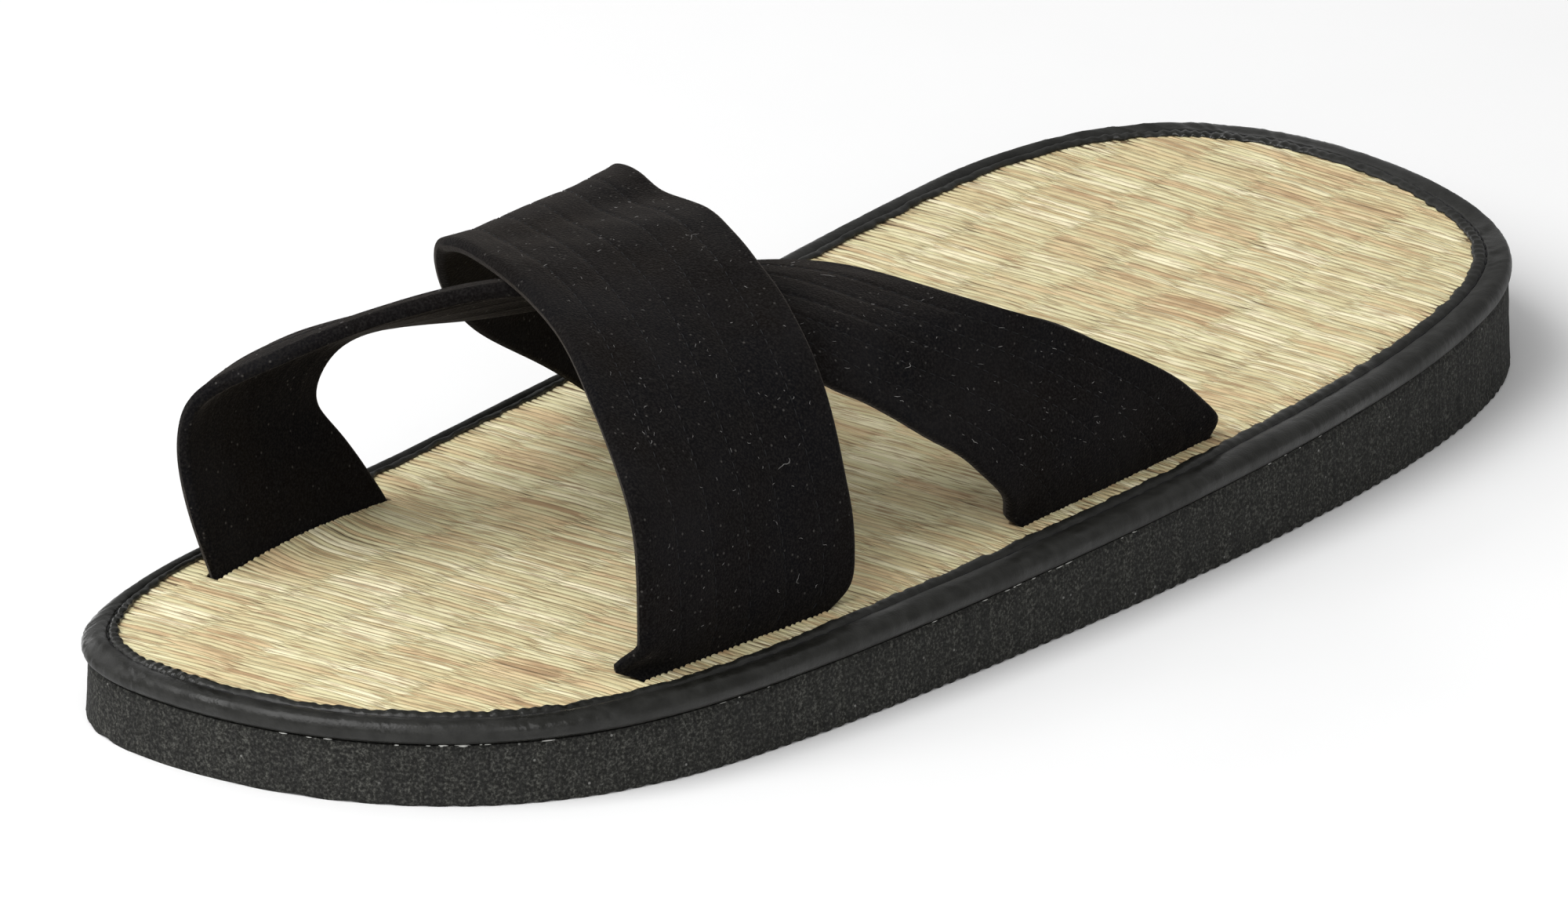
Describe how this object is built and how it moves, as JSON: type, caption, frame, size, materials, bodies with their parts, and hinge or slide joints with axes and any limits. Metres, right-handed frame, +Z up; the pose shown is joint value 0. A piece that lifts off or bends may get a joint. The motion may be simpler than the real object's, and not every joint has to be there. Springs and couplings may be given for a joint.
{
  "type": "zori sandal",
  "caption": "Left zori sandal: flat foam wedge sole, woven rush insole with folded edge binding, two crossed velvet straps over the forefoot.",
  "frame": {"origin": "centre of the bounding box on the ground, under the sole", "axes": "+Z up, -Y towards the toe, +Y towards the heel, +X towards the outer side of a left foot"},
  "size_m": [0.1102, 0.2801, 0.061],
  "materials": {
    "foam": "matt, finely pored",
    "rush": "woven rush, satin",
    "tape": "satin",
    "velvet": "pile, matt"
  },
  "bodies": {
    "root": {"outsole": "foam", "insole": "rush", "binding": "tape", "upper": "velvet"}
  },
  "joints": []
}
